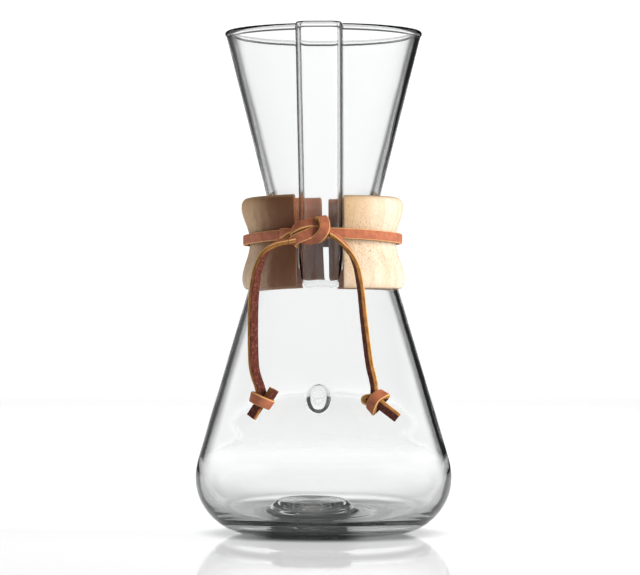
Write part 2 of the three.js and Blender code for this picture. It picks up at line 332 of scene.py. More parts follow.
        heights = spread(bead_start, waist_high, 26)
        heights += spread(waist_high, waist_low, 44)[1:]
        rows.extend((self.radius(z), z, glass.wall, True) for z in heights)
        for z in spread(waist_low, self.side_from[1] + 5 * MM, 22)[1:]:
            plain(self.radius(z) - glass.wall, z)
        inner_corner = glass.corner_radius - glass.wall
        foot = glass.corner_centre - self.floor_inset
        for angle in spread(self.side_angle, -math.pi / 2, 44):
            radius = foot + inner_corner * math.cos(angle)
            plain(radius, self.floor_low + inner_corner * (1 + math.sin(angle)) + self.ledge(radius))
        for radius in spread(foot, self.hub, 60)[1:]:
            rise = self.floor_rise * self.raised(radius)
            plain(radius, self.floor_low + rise + 0.5 * self.ripple(radius, foot) + self.ledge(radius))
        return self.eased(rows, 24)

    def raised(self, radius):
        """How much of the rise in the base's middle there is at a radius: all of it, or a part, or none."""
        return 1 - smooth_step(radius, *self.rise_edge)

    def ripple(self, radius, edge):
        """Rings that pressing leaves in the base, fading towards the edge."""
        fade = 1 - smooth_step(radius, 0.7 * edge, edge)
        return 0.22 * MM * fade * math.sin(2 * math.pi * radius / (3.3 * MM))

    def ridge(self, z):
        """Fine ridges round the lowest part of the foot."""
        height = 0.14 * MM * smooth_step(z, 0.6 * MM, 2 * MM) * (1 - smooth_step(z, 5 * MM, 10 * MM))
        return height * math.sin(2 * math.pi * z / (2.1 * MM))

    def ledge(self, radius):
        """The low rounded ridge where the flask's floor turns up into its side."""
        return 0.7 * MM * math.exp(-(((radius - 40.5 * MM) / (1.6 * MM)) ** 2))

    def eased(self, rows, rounds):
        """The rows with the bend from the foot to the side spread out, so that no line shows on it."""
        for _ in range(rounds):
            moved = list(rows)
            for i in range(1, len(rows) - 1):
                (before, z_before, *_), (radius, z, *rest), (after, z_after, *_) = rows[i - 1 : i + 2]
                share = 0.5 * smooth_step(z, 14 * MM, 24 * MM) * (1 - smooth_step(z, 36 * MM, 46 * MM))
                radius += share * ((before + after) / 2 - radius)
                z += share * ((z_before + z_after) / 2 - z)
                moved[i] = (radius, z, *rest)
            rows = moved
        return rows

    def button(self, point):
        """How far the button lifts the outer surface at a point: a rounded disc with a dimple."""
        glass = self.glass
        away = math.hypot(point.x, (point.z - glass.button_height) * 0.8)
        if point.y > 0 or away >= glass.button_radius:
            return 0.0
        share = away / glass.button_radius
        dome = (1 - share**4) ** 0.5
        dimple = 0.2 * math.exp(-((share / 0.5) ** 2))
        return glass.button_stand * (dome - dimple)

    def shifted(self, radius):
        """How far left of the axis the base's middle stands; its outer part is round the axis."""
        return self.off_centre * (1 - smooth_step(radius, 17 * MM, 29 * MM))


def build_vessel(glass):
    """The vessel as one closed mesh, outside and inside."""
    shape = VesselShape(glass)
    near, far = 54, 44
    base_top = 16 * MM
    mesh = bmesh.new()
    rings = []
    for radius, z, inset, has_channel in shape.stations():
        half = shape.angles(z, inset, radius, has_channel, near, far)
        around = half + [2 * math.pi - phi for phi in reversed(half[1:-1])]
        ring = []
        for phi in around:
            mirrored = min(phi, 2 * math.pi - phi)
            r = shape.wall(z, mirrored, inset, radius, has_channel)
            point = Vector((r * math.sin(phi), -r * math.cos(phi), z))
            if z < base_top:
                point.x -= shape.shifted(radius)
            if has_channel and inset == 0.0:
                point += Vector((0, -1, 0.3)) * shape.button(point)
            ring.append(mesh.verts.new(point))
        rings.append(ring)
    count = len(rings[0])
    for lower, upper in zip(rings, rings[1:]):
        for j in range(count):
            k = (j + 1) % count
            mesh.faces.new((lower[j], lower[k], upper[k], upper[j]))
    first = mesh.verts.new((-shape.off_centre, 0, shape.punt_rise))
    last = mesh.verts.new((-shape.off_centre, 0, shape.floor_low + shape.floor_rise))
    for j in range(count):
        k = (j + 1) % count
        mesh.faces.new((first, rings[0][k], rings[0][j]))
        mesh.faces.new((last, rings[-1][j], rings[-1][k]))
    return finished("glass_body", mesh)


def finished(name, mesh):
    """A mesh object from a bmesh, linked to the scene with its faces smooth."""
    data = bpy.data.meshes.new(name)
    mesh.normal_update()
    mesh.to_mesh(data)
    mesh.free()
    data.shade_smooth()
    piece = bpy.data.objects.new(name, data)
    bpy.context.scene.collection.objects.link(piece)
    return piece


# ---- the collar's shape ---------------------------------------------------------------------------
def smooth_curve(points, steps):
    """Points along a Catmull-Rom curve through the given ones."""
    ends = [points[0] * 2 - points[1], *points, points[-1] * 2 - points[-2]]
    result = []
    for i in range(len(points) - 1):
        a, b, c, d = ends[i : i + 4]
        for step in range(steps):
            t = step / steps
            result.append(
                0.5
                * (
                    2 * b
                    + (c - a) * t
                    + (2 * a - 5 * b + 4 * c - d) * t**2
                    + (3 * b - a - 3 * c + d) * t**3
                )
            )
    return [*result, points[-1]]


def collar_outline(collar, shape):
    """The collar's wall cut through, as (radius, height): down the outside, then up the inside."""
    waist = [
        (30.4, 142.6),
        (32.4, 142.0),
        (33.6, 140.2),
        (33.8, 137.4),
        (33.1, 134.2),
        (31.8, 130.4),
        (30.85, 126.4),
        (30.85, 122.4),
        (31.9, 117.9),
        (33.6, 113.2),
        (34.5, 109.4),
        (34.4, 106.4),
        (33.7, 104.5),
        (33.0, 103.8),
    ]
    outside = smooth_curve([Vector((r * MM, z * MM)) for r, z in waist], 4)
    ease = 0.6 * MM
    low, high = collar.bottom, collar.top
    inside = [
        Vector((shape.radius(z) + collar.play + ease * max(0, 1 - min(z - low, high - z) / ease), z))
        for z in [low, low + ease / 2, *spread(low + ease, high - ease, 24), high - ease / 2, high]
    ]
    return outside + inside


def build_collar_half(collar, shape, side):
    """One half of the collar: the outline swept round from the front cut to the back cut."""
    columns = 72
    outline = collar_outline(collar, shape)
    mesh = bmesh.new()
    loops = []
    for column in range(columns + 1):
        share = column / columns
        loop = []
        for radius, z in outline:
            front = math.asin(collar.front_gap / radius)
            back = math.pi - math.asin(collar.back_gap / radius)
            angle = front + (back - front) * share
            loop.append(mesh.verts.new((side * radius * math.sin(angle), -radius * math.cos(angle), z)))
        loops.append(loop)
    count = len(outline)
    for near, far in zip(loops, loops[1:]):
        for j in range(count):
            k = (j + 1) % count
            mesh.faces.new((near[j], near[k], far[k], far[j]))
    caps = [mesh.faces.new(loops[0]), mesh.faces.new(loops[-1])]
    rim = list(dict.fromkeys(edge for cap in caps for edge in cap.edges))
    bmesh.ops.recalc_face_normals(mesh, faces=mesh.faces)
    bmesh.ops.bevel(mesh, geom=rim, offset=0.4 * MM, segments=3, profile=0.5, affect="EDGES")
    bmesh.ops.triangulate(mesh, faces=[face for face in mesh.faces if len(face.verts) > 4])
    piece = finished("wood_half_left" if side < 0 else "wood_half_right", mesh)
    for face in piece.data.polygons:
        face.use_smooth = abs(face.normal.x) < 0.999
    if side < 0:
        centre = Vector((-22 * MM, 0, (collar.top + collar.bottom) / 2))
        piece.data.transform(
            Matrix.Translation(centre - Vector((collar.left_shift, 0, 0)))
            @ Matrix.Rotation(-collar.left_tilt, 4, "Y")
            @ Matrix.Translation(-centre)
        )
    return piece


# ---- nodes ----------------------------------------------------------------------------------------
def feed(socket, value):
    """Links a socket from another one, or sets its value."""
    if isinstance(value, bpy.types.NodeSocket):
        socket.id_data.links.new(value, socket)
    else:
        socket.default_value = value


def added(tree, kind, inputs=None, **properties):
    """A new node with its properties set. Each of its inputs is fed from a socket or given a value."""
    made = tree.nodes.new(kind)
    for key, value in properties.items():
        setattr(made, key, value)
    for key, value in (inputs or {}).items():
        feed(made.inputs[key], value)
    return made


def calculated(tree, operation, *values):
    """The output of a maths node. Each value is a socket or a number."""
    inputs = dict(enumerate(values))
    return added(tree, "ShaderNodeMath", inputs, operation=operation).outputs["Value"]


def product(tree, first, second):
    return calculated(tree, "MULTIPLY", first, second)


def split(tree, vector):
    """The X, Y and Z of a vector socket."""
    return added(tree, "ShaderNodeSeparateXYZ", {"Vector": vector}).outputs


def declared(name, kind, inputs, outputs):
    """An empty node tree with its inputs and outputs, given as (name, socket type) pairs."""
    tree = bpy.data.node_groups.new(name, kind)
    for way, sockets in (("INPUT", inputs), ("OUTPUT", outputs)):
        for label, socket_type in sockets:
            tree.interface.new_socket(label, in_out=way, socket_type="NodeSocket" + socket_type)
    return tree


# ---- the lace -------------------------------------------------------------------------------------
def kept(tree, curve, kind, label, value):
    """A curve that carries a value of its points along, and that value's socket."""
    made = tree.nodes.new("GeometryNodeCaptureAttribute")
    made.capture_items.new(kind, label)
    feed(made.inputs["Geometry"], curve)
    feed(made.inputs[label], value)
    return made.outputs["Geometry"], made.outputs[label]


def lace_tree():
    """Sweeps the lace's section along every path of a mesh of edges, its smooth side turned by FACING."""
    name = "Lace along paths"
    if name in bpy.data.node_groups:
        return bpy.data.node_groups[name]
    sizes = ("Width", "Thickness", "Edge Radius", "Spacing", "Unevenness")
    inputs = [("Geometry", "Geometry"), *((label, "Float") for label in sizes), ("Material", "Material")]
    tree = declared(name, "GeometryNodeTree", inputs, [("Geometry", "Geometry")])
    for item in tree.interface.items_tree:
        if item.name in sizes:
            item.subtype = "DISTANCE"
    start = added(tree, "NodeGroupInput").outputs

    def step(kind, output, inputs, **properties):
        return added(tree, kind, inputs, **properties).outputs[output]

    path = step("GeometryNodeMeshToCurve", "Curve", {"Mesh": start["Geometry"]})
    path = step("GeometryNodeCurveSplineType", "Curve", {"Curve": path}, spline_type="CATMULL_ROM")
    spacing = {"Length": start["Spacing"]}
    path = step("GeometryNodeResampleCurve", "Curve", {"Curve": path, **spacing}, mode="LENGTH")
    facing = step(
        "GeometryNodeInputNamedAttribute", "Attribute", {"Name": FACING_ATTRIBUTE}, data_type="FLOAT_VECTOR"
    )
    path = step("GeometryNodeSetCurveNormal", "Curve", {"Curve": path, "Normal": facing}, mode="FREE")
    travelled = step("GeometryNodeSplineParameter", "Length", {})
    path, travelled = kept(tree, path, "FLOAT", "Length", travelled)

    corners = {"Width": start["Thickness"], "Height": start["Width"]}
    section = step("GeometryNodeCurvePrimitiveQuadrilateral", "Curve", corners)
    rounding = {"Count": 3, "Curve": section, "Radius": start["Edge Radius"]}
    section = step("GeometryNodeFilletCurve", "Curve", rounding, mode="POLY")
    section = step("GeometryNodeResampleCurve", "Curve", {"Curve": section, **spacing}, mode="LENGTH")
    place = step("GeometryNodeInputPosition", "Position", {})
    section, place = kept(tree, section, "VECTOR", "Place", place)

    sweep = {"Fill Caps": True, "Curve": path, "Profile Curve": section}
    lace = step("GeometryNodeCurveToMesh", "Mesh", sweep)
    parts = split(tree, place)
    across, through = (
        calculated(tree, "DIVIDE", product(tree, parts[axis], 2.0), start[size])
        for axis, size in (("Y", "Width"), ("X", "Thickness"))
    )
    shares = step("ShaderNodeCombineXYZ", "Vector", {"X": across, "Y": through, "Z": travelled})
    lace = step(
        "GeometryNodeStoreNamedAttribute",
        "Geometry",
        {"Name": LACE_ATTRIBUTE, "Geometry": lace, "Value": shares},
        data_type="FLOAT_VECTOR",
        domain="POINT",
    )

    lumps = step("ShaderNodeTexNoise", "Fac", {"Scale": 420.0, "Detail": 3.0})
    amount = product(tree, calculated(tree, "SUBTRACT", lumps, 0.5), start["Unevenness"])
    outward = step("GeometryNodeInputNormal", "Normal", {})
    push = step("ShaderNodeVectorMath", "Vector", {"Vector": outward, "Scale": amount}, operation="SCALE")
    lace = step("GeometryNodeSetPosition", "Geometry", {"Geometry": lace, "Offset": push})
    lace = step("GeometryNodeRealizeInstances", "Geometry", {"Geometry": lace})
    painted = {"Geometry": lace, "Material": start["Material"]}
    lace = step("GeometryNodeSetMaterial", "Geometry", painted)
    added(tree, "NodeGroupOutput", {"Geometry": lace})
    return tree


def lace_piece(name, strands, lace, material):
    """Lengths of lace as one plain mesh. A strand is a list of (point, way its smooth side faces), in mm."""
    data = bpy.data.meshes.new(name)
    points, edges, facings = [], [], []
    for strand in strands:
        for i, (point, facing) in enumerate(strand):
            if i:
                edges.append((len(points) - 1, len(points)))
            points.append([value * MM for value in point])
            facings.extend(Vector(facing).normalized())
    data.from_pydata(points, edges, [])
    data.attributes.new(FACING_ATTRIBUTE, "FLOAT_VECTOR", "POINT").data.foreach_set("vector", facings)
    draft = bpy.data.objects.new(name + "_path", data)
    bpy.context.scene.collection.objects.link(draft)
    modifier = draft.modifiers.new("Lace", "NODES")
    modifier.node_group = lace_tree()
    values = {
        "Width": lace.width,
        "Thickness": lace.thickness,
        "Edge Radius": lace.edge_radius,
        "Spacing": lace.spacing,
        "Unevenness": lace.unevenness,
        "Material": material,
    }
    for item in modifier.node_group.interface.items_tree:
        if item.item_type == "SOCKET" and item.in_out == "INPUT" and item.name in values:
            modifier[item.identifier] = values[item.name]
    graph = bpy.context.evaluated_depsgraph_get()
    solid = bpy.data.meshes.new_from_object(draft.evaluated_get(graph))
    solid.name = name
    solid.shade_smooth()
    piece = bpy.data.objects.new(name, solid)
    bpy.context.scene.collection.objects.link(piece)
    bpy.data.objects.remove(draft)
    bpy.data.meshes.remove(data)
    return piece


def tail_strand(route, outward, twist):
    """A tail's points with the way its smooth side faces: up at the knot, then outwards, then turned."""
    count = len(route) - 1
    strand = []
    for i, point in enumerate(route):
        share = i / count
        fall = smooth_step(share, 0.0, 0.55)
        turn = twist * smooth_step(share, 0.0, 0.8)
        facing = (outward * fall * math.cos(turn), math.sin(turn) - 0.3 * (1 - fall), 1.02 - fall)
        strand.append((point, facing))
    return strand


# The tails' routes from the knot down, in millimetres.
LEFT_ROUTE = [
    (-12.8, -38.2, 123.2),
    (-15.4, -38.2, 122.7),
    (-17.3, -38.2, 122.2),
    (-19.7, -38.3, 121.0),
    (-21.4, -38.3, 119.7),
    (-22.7, -38.4, 118.1),
    (-23.8, -38.5, 116.2),
    (-24.7, -38.6, 113.9),
    (-25.5, -38.7, 111.3),
    (-26.2, -38.9, 108.4),
    (-27.0, -39.2, 101.4),
    (-27.3, -39.8, 92.7),
    (-27.3, -40.6, 82.9),
    (-27.0, -41.6, 73.8),
    (-26.5, -42.2, 70.1),
    (-25.6, -42.9, 66.8),
    (-24.6, -43.6, 64.3),
]
RIGHT_ROUTE = [
    (4.7, -38.4, 126.1),
    (6.9, -38.4, 124.9),
    (8.8, -38.5, 123.2),
    (10.8, -38.5, 120.9),
    (12.5, -38.6, 118.7),
    (13.9, -38.7, 116.2),
    (15.1, -38.8, 113.4),
    (15.9, -38.9, 110.4),
    (17.1, -39.3, 103.4),
    (18.0, -39.8, 94.8),
    (19.1, -40.5, 84.9),
    (20.4, -41.4, 75.0),
    (21.1, -42.0, 70.9),
    (22.0, -42.8, 67.3),
    (22.7, -43.5, 64.2),
]


def band_strand(lace, side):
    """Half of the band: from the back's middle round one side to behind the knot.

    On the left it stands a little further out, over the half of the collar that sits askew.
    """
    bulge = lace.band_ease if side < 0 else 0.0
    strand = []
    for step in range(31):
        angle = math.radians(180 - 5 * step)
        climb = ((1 + math.cos(angle)) / 2) ** 4
        radius = lace.band_radius + lace.band_ease * climb
        x = side * (radius + bulge) * math.sin(angle) / MM
        y = -radius * math.cos(angle) / MM
        z = (lace.band_height + side * lace.band_lean * math.sin(angle) + lace.band_rise * climb) / MM
        strand.append(((x, y, z), (x, y, 0)))
    front = (lace.band_height + lace.band_rise) / MM
    end = -1.2 if side < 0 else -0.5
    for x, y, z in (
        (side * 12, -30.6, front - 0.2),
        (side * 8.5, -32.0, front),
        (side * 5, -32.75, front),
        (end, -32.95, front),
    ):
        strand.append(((x, y, z), (x, y, 0)))
    return strand


# The knot's left-hand turns: the upper loop that folds back under itself, the broad lower strand, the link
# to the left tail, the strand underneath, and the twisted end of the band.
LEFT_KNOT = [
    [
        ((1.4, -36.2, 130.2), (0, -0.85, 0.5)),
        ((-1.0, -36.9, 130.6), (0, -0.85, 0.5)),
        ((-3.8, -37.4, 130.6), (0, -0.82, 0.57)),
        ((-6.4, -37.8, 130.0), (-0.1, -0.8, 0.6)),
        ((-8.6, -37.8, 129.0), (-0.35, -0.7, 0.6)),
        ((-10.2, -37.3, 127.9), (-0.75, -0.5, 0.45)),
        ((-10.7, -36.6, 127.0), (-0.95, 0.1, 0.1)),
        ((-9.8, -35.9, 126.8), (-0.4, 0.8, -0.3)),
        ((-7.8, -35.5, 127.2), (-0.1, 0.9, -0.4)),
    ],
    [
        ((0.8, -37.4, 127.7), (0, -1, 0.15)),
        ((-1.2, -38.0, 127.4), (0, -1, 0.15)),
        ((-3.4, -38.7, 126.7), (0, -1, 0.05)),
        ((-5.8, -39.1, 125.7), (0, -1, -0.05)),
        ((-8.0, -39.1, 124.8), (0, -1, -0.1)),
        ((-9.7, -38.7, 124.0), (-0.2, -0.95, -0.25)),
        ((-10.8, -37.7, 123.2), (-0.6, -0.6, -0.55)),
        ((-10.5, -36.4, 122.7), (-0.5, 0.4, -0.8)),
        ((-9.4, -35.7, 122.8), (-0.2, 0.9, -0.4)),
    ],
    [
        ((-6.4, -34.9, 124.6), (0, -0.5, 0.85)),
        ((-8.6, -36.6, 124.4), (0, -0.4, 0.92)),
        ((-10.8, -37.9, 123.8), (0, -0.32, 0.97)),
        ((-12.85, -38.2, 123.2), (0, -0.3, 1.02)),
    ],
    [
        ((-8.0, -36.2, 124.2), (0, -0.5, -0.85)),
        ((-5.6, -37.0, 123.8), (0, -0.6, -0.8)),
        ((-2.8, -37.3, 123.9), (0.1, -0.6, -0.8)),
        ((0.2, -36.9, 124.7), (0.3, -0.6, -0.7)),
        ((2.4, -36.4, 125.7), (0.3, -0.6, -0.7)),
    ],
    [
        ((-16.5, -29.6, 126.4), (-0.5, -0.86, 0.1)),
        ((-13.8, -32.4, 126.6), (-0.35, -0.7, 0.6)),
        ((-11.2, -34.8, 126.8), (-0.1, -0.35, 0.93)),
        ((-8.6, -36.2, 126.9), (0, -0.25, 0.97)),
        ((-6.0, -36.6, 127.0), (0, -0.3, 0.95)),
    ],
]
# Its right-hand turns: the wrap over the front, and the short strand that becomes the right tail.
RIGHT_KNOT = [
    [
        ((-0.8, -35.4, 131.0), (-0.3, 0.7, 0.6)),
        ((0.1, -36.3, 132.3), (-0.2, 0.1, 1)),
        ((1.1, -37.7, 132.6), (0.1, -0.4, 0.9)),
        ((1.9, -39.1, 131.4), (0.25, -0.8, 0.5)),
        ((2.3, -39.9, 129.6), (0.25, -0.95, 0.1)),
        ((2.0, -40.2, 127.8), (0.15, -1, 0)),
        ((1.1, -40.0, 126.2), (0, -0.98, -0.15)),
        ((-0.2, -39.4, 124.9), (-0.15, -0.9, -0.4)),
        ((-1.6, -38.4, 124.2), (-0.2, -0.65, -0.75)),
        ((-2.6, -37.0, 124.0), (-0.2, 0.1, -0.95)),
        ((-2.2, -35.9, 124.7), (0, 0.8, -0.6)),
    ],
    [
        ((0.8, -37.2, 128.3), (0.2, -0.5, 0.8)),
        ((2.8, -37.9, 127.4), (0.2, -0.4, 0.9)),
        ((4.75, -38.4, 126.1), (0.1, -0.3, 1.02)),
    ],
]


def placed(strands, centre, lean, mirror):
    """Strands drawn about a knot's own axis, leaned over and put in their place."""

    def turn(x, y, z):
        x *= mirror
        return (x * math.cos(lean) + z * math.sin(lean), y, -x * math.sin(lean) + z * math.cos(lean))

    return [
        [(tuple(c + v for c, v in zip(centre, turn(*point))), turn(*facing)) for point, facing in strand]
        for strand in strands
    ]


def left_end_knot():
    """A turn wrapped across the tail, the fold that stands up behind it, and the cut end below."""
    knot = placed(
        [
            [
                ((-1.8, 2.3, 0.4), (-0.5, 0.9, -0.1)),
                ((-3.4, 1.1, 0.3), (-0.95, 0.3, -0.2)),
                ((-3.7, -0.7, 0.1), (-0.95, -0.35, -0.2)),
                ((-2.5, -2.2, 0.0), (-0.45, -0.9, -0.2)),
                ((-0.2, -2.9, 0.0), (0, -1, -0.2)),
                ((2.2, -2.5, 0.0), (0.4, -0.92, -0.2)),
                ((3.8, -1.1, 0.0), (0.9, -0.45, -0.2)),
                ((3.9, 0.7, 0.2), (0.98, 0.2, -0.2)),
                ((2.4, 2.2, 0.4), (0.5, 0.87, -0.1)),
            ],
            [
                ((0.4, 0.2, 1.6), (0.6, 0.8, 0)),
                ((0.1, -0.5, -1.6), (0.6, 0.8, 0)),
                ((-0.5, -0.6, -4.8), (0.6, 0.8, 0)),
                ((-1.0, -0.5, -7.7), (0.55, 0.83, 0)),
            ],
        ],
        (-23.7, -45.0, 57.6),
        0.4,
        1,
    )
    fold = [
        ((-21.4, -44.4, 57.0), (-0.61, 0.69, 0.38)),
        ((-19.9, -45.0, 59.6), (-0.61, 0.69, 0.38)),
        ((-18.3, -45.3, 62.3), (-0.55, 0.72, 0.42)),
    ]
    neck = [
        ((-24.6, -43.6, 64.3), (-0.643, 0.766, 0.02)),
        ((-24.0, -44.1, 62.3), (-0.643, 0.766, 0.02)),
        ((-23.5, -44.5, 60.2), (-0.5, 0.86, 0)),
        ((-23.3, -44.8, 58.2), (-0.3, 0.95, 0)),
    ]
    return [*knot, fold, neck]


def right_end_knot():
    """A turn wrapped slantwise across the tail, a small fold at its left, and a long cut end."""
    knot = placed(
        [
            [
                ((-2.0, 2.3, -1.3), (-0.5, 0.9, 0.1)),
                ((-3.6, 1.1, -1.3), (-0.95, 0.3, 0.2)),
                ((-3.9, -0.8, -0.8), (-0.95, -0.35, 0.2)),
                ((-2.6, -2.2, 0.2), (-0.45, -0.9, 0.2)),
                ((-0.3, -2.9, 0.9), (0, -1, 0.2)),
                ((2.1, -2.6, 0.5), (0.4, -0.92, 0.2)),
                ((4.0, -1.3, -0.5), (0.9, -0.45, 0.2)),
                ((4.4, 0.6, -1.1), (0.98, 0.2, 0.2)),
                ((2.8, 2.2, -1.3), (0.5, 0.87, 0.1)),
            ],
            [
                ((0.5, 0.3, 1.4), (-0.7, 0.71, 0)),
                ((0.4, -0.5, -2.0), (-0.7, 0.71, 0)),
                ((0.3, -0.7, -6.5), (-0.7, 0.71, 0)),
                ((0.2, -0.6, -11.3), (-0.7, 0.71, 0)),
            ],
        ],
        (23.7, -44.7, 57.9),
        -0.89,
        -1,
    )
    fold = [
        ((22.4, -44.3, 59.4), (0, 0.1, 1)),
        ((20.4, -44.6, 59.3), (-0.1, 0.1, 1)),
        ((18.9, -44.8, 58.8), (-0.7, 0.1, 0.7)),
        ((18.4, -44.8, 58.0), (-1, 0, 0)),
        ((18.8, -44.8, 57.2), (-0.7, -0.1, -0.7)),
        ((20.2, -44.8, 56.9), (0, -0.1, -1)),
        ((22.2, -44.6, 57.0), (0.1, -0.1, -1)),
    ]
    neck = [
        ((22.7, -43.5, 64.2), (0.92, 0.39, 0.02)),
        ((22.85, -44.0, 62.2), (0.92, 0.39, 0.02)),
        ((23.0, -44.4, 60.2), (0.8, 0.6, 0)),
        ((23.3, -44.7, 58.4), (0.6, 0.8, 0)),
    ]
    return [*knot, fold, neck]


# ---- materials ------------------------------------------------------------------------------------
def ramp(tree, factor, stops):
    """A colour ramp's output. Each stop is a (position, grey level) pair."""
    made = added(tree, "ShaderNodeValToRGB", {"Fac": factor})
    elements = made.color_ramp.elements
    while len(elements) < len(stops):
        elements.new(0.5)
    for element, (position, level) in zip(elements, stops):
        element.position = position
        element.color = (level, level, level, 1.0)
    return made.outputs["Color"]


def mixed(tree, factor, first, second, mode="MIX"):
    """A colour mix. factor is a socket or a number; first and second are sockets or plain colours."""
    made = added(tree, "ShaderNodeMix", {}, data_type="RGBA", blend_type=mode, clamp_factor=True)
    feed(made.inputs["Factor"], factor)
    for socket, value in ((made.inputs[6], first), (made.inputs[7], second)):
        feed(socket, value if isinstance(value, bpy.types.NodeSocket) else (*value, 1.0))
    return made.outputs[2]


def ranged(tree, value, low, high, to_low=0.0, to_high=1.0):
    """A value that goes smoothly from to_low to to_high as another goes from low to high."""
    limits = {"From Min": low, "From Max": high, "To Min": to_low, "To Max": to_high}
    made = added(tree, "ShaderNodeMapRange", {**limits, "Value": value}, interpolation_type="SMOOTHSTEP")
    return made.outputs["Result"]


def noise(tree, vector, scale, detail=3.0, roughness=0.55, distortion=0.0):
    inputs = {"Scale": scale, "Detail": detail, "Roughness": roughness, "Distortion": distortion}
    return added(tree, "ShaderNodeTexNoise", {**inputs, "Vector": vector}).outputs["Fac"]


def object_place(tree):
    return added(tree, "ShaderNodeTexCoord").outputs["Object"]


def squeezed(tree, vector, up):
    """Coordinates whose pattern is drawn out along Z."""
    return added(tree, "ShaderNodeMapping", {"Scale": (1.0, 1.0, up), "Vector": vector}).outputs["Vector"]


def fibre_group():
    """Fine fibres that run along Z of the given coordinates: their tone, and their height for a bump."""
    name = "Fibres"
    if name in bpy.data.node_groups:
        return bpy.data.node_groups[name]
    inputs = [("Vector", "Vector"), ("Fineness", "Float"), ("Stretch", "Float")]
    tree = declared(name, "ShaderNodeTree", inputs, [("Tone", "Float"), ("Height", "Float")])
    start = added(tree, "NodeGroupInput").outputs
    parts = split(tree, start["Vector"])
    along = calculated(tree, "DIVIDE", parts["Z"], start["Stretch"])
    place = {"X": parts["X"], "Y": parts["Y"], "Z": along}
    place = added(tree, "ShaderNodeCombineXYZ", place).outputs["Vector"]
    coarse = noise(tree, place, product(tree, start["Fineness"], 0.35), detail=4.0, roughness=0.6)
    fine = noise(tree, place, product(tree, start["Fineness"], 1.6), detail=2.0, roughness=0.5)
    tone = calculated(tree, "ADD", product(tree, coarse, 0.65), product(tree, fine, 0.35))
    added(tree, "NodeGroupOutput", {"Tone": ranged(tree, tone, 0.3, 0.7), "Height": fine})
    return tree


def fibres(tree, vector, fineness, stretch):
    made = added(tree, "ShaderNodeGroup", node_tree=fibre_group())
    for label, value in (("Vector", vector), ("Fineness", fineness), ("Stretch", stretch)):
        feed(made.inputs[label], value)
    return made.outputs["Tone"], made.outputs["Height"]


def bumped(tree, height, strength, distance):
    inputs = {"Strength": strength, "Distance": distance, "Height": height}
    return added(tree, "ShaderNodeBump", inputs).outputs["Normal"]


def new_material(name):
    material = bpy.data.materials.new(name)
    material.use_nodes = True
    shader = material.node_tree.nodes["Principled BSDF"]
    return material, material.node_tree, shader.inputs


def glass_material(glass):
    """Clear blown glass, a little wavy and darker where it is thick. It lets lamps through."""
    material, tree, shader = new_material("blown_glass")
    shader["Base Color"].default_value = (*glass.tint, 1.0)
    shader["Roughness"].default_value = 0.0
    shader["IOR"].default_value = 1.47
    shader["Transmission Weight"].default_value = 1.0
    waves = noise(tree, object_place(tree), 38.0, detail=1.5)
    feed(shader["Normal"], bumped(tree, waves, 0.25, 0.6 * MM))
    clear = added(tree, "ShaderNodeBsdfTransparent", {"Color": (0.96, 0.97, 0.97, 1.0)})
    rays = added(tree, "ShaderNodeLightPath")
    surfaces = {
        "Fac": rays.outputs["Is Shadow Ray"],
        1: tree.nodes["Principled BSDF"].outputs["BSDF"],
        2: clear.outputs["BSDF"],
    }
    choice = added(tree, "ShaderNodeMixShader", surfaces)
    depth_look = {"Color": (*glass.depth_colour, 1.0), "Density": glass.depth_density}
    depth = added(tree, "ShaderNodeVolumeAbsorption", depth_look)
    end = tree.nodes["Material Output"].inputs
    feed(end["Surface"], choice.outputs["Shader"])
    feed(end["Volume"], depth.outputs["Volume"])
    return material


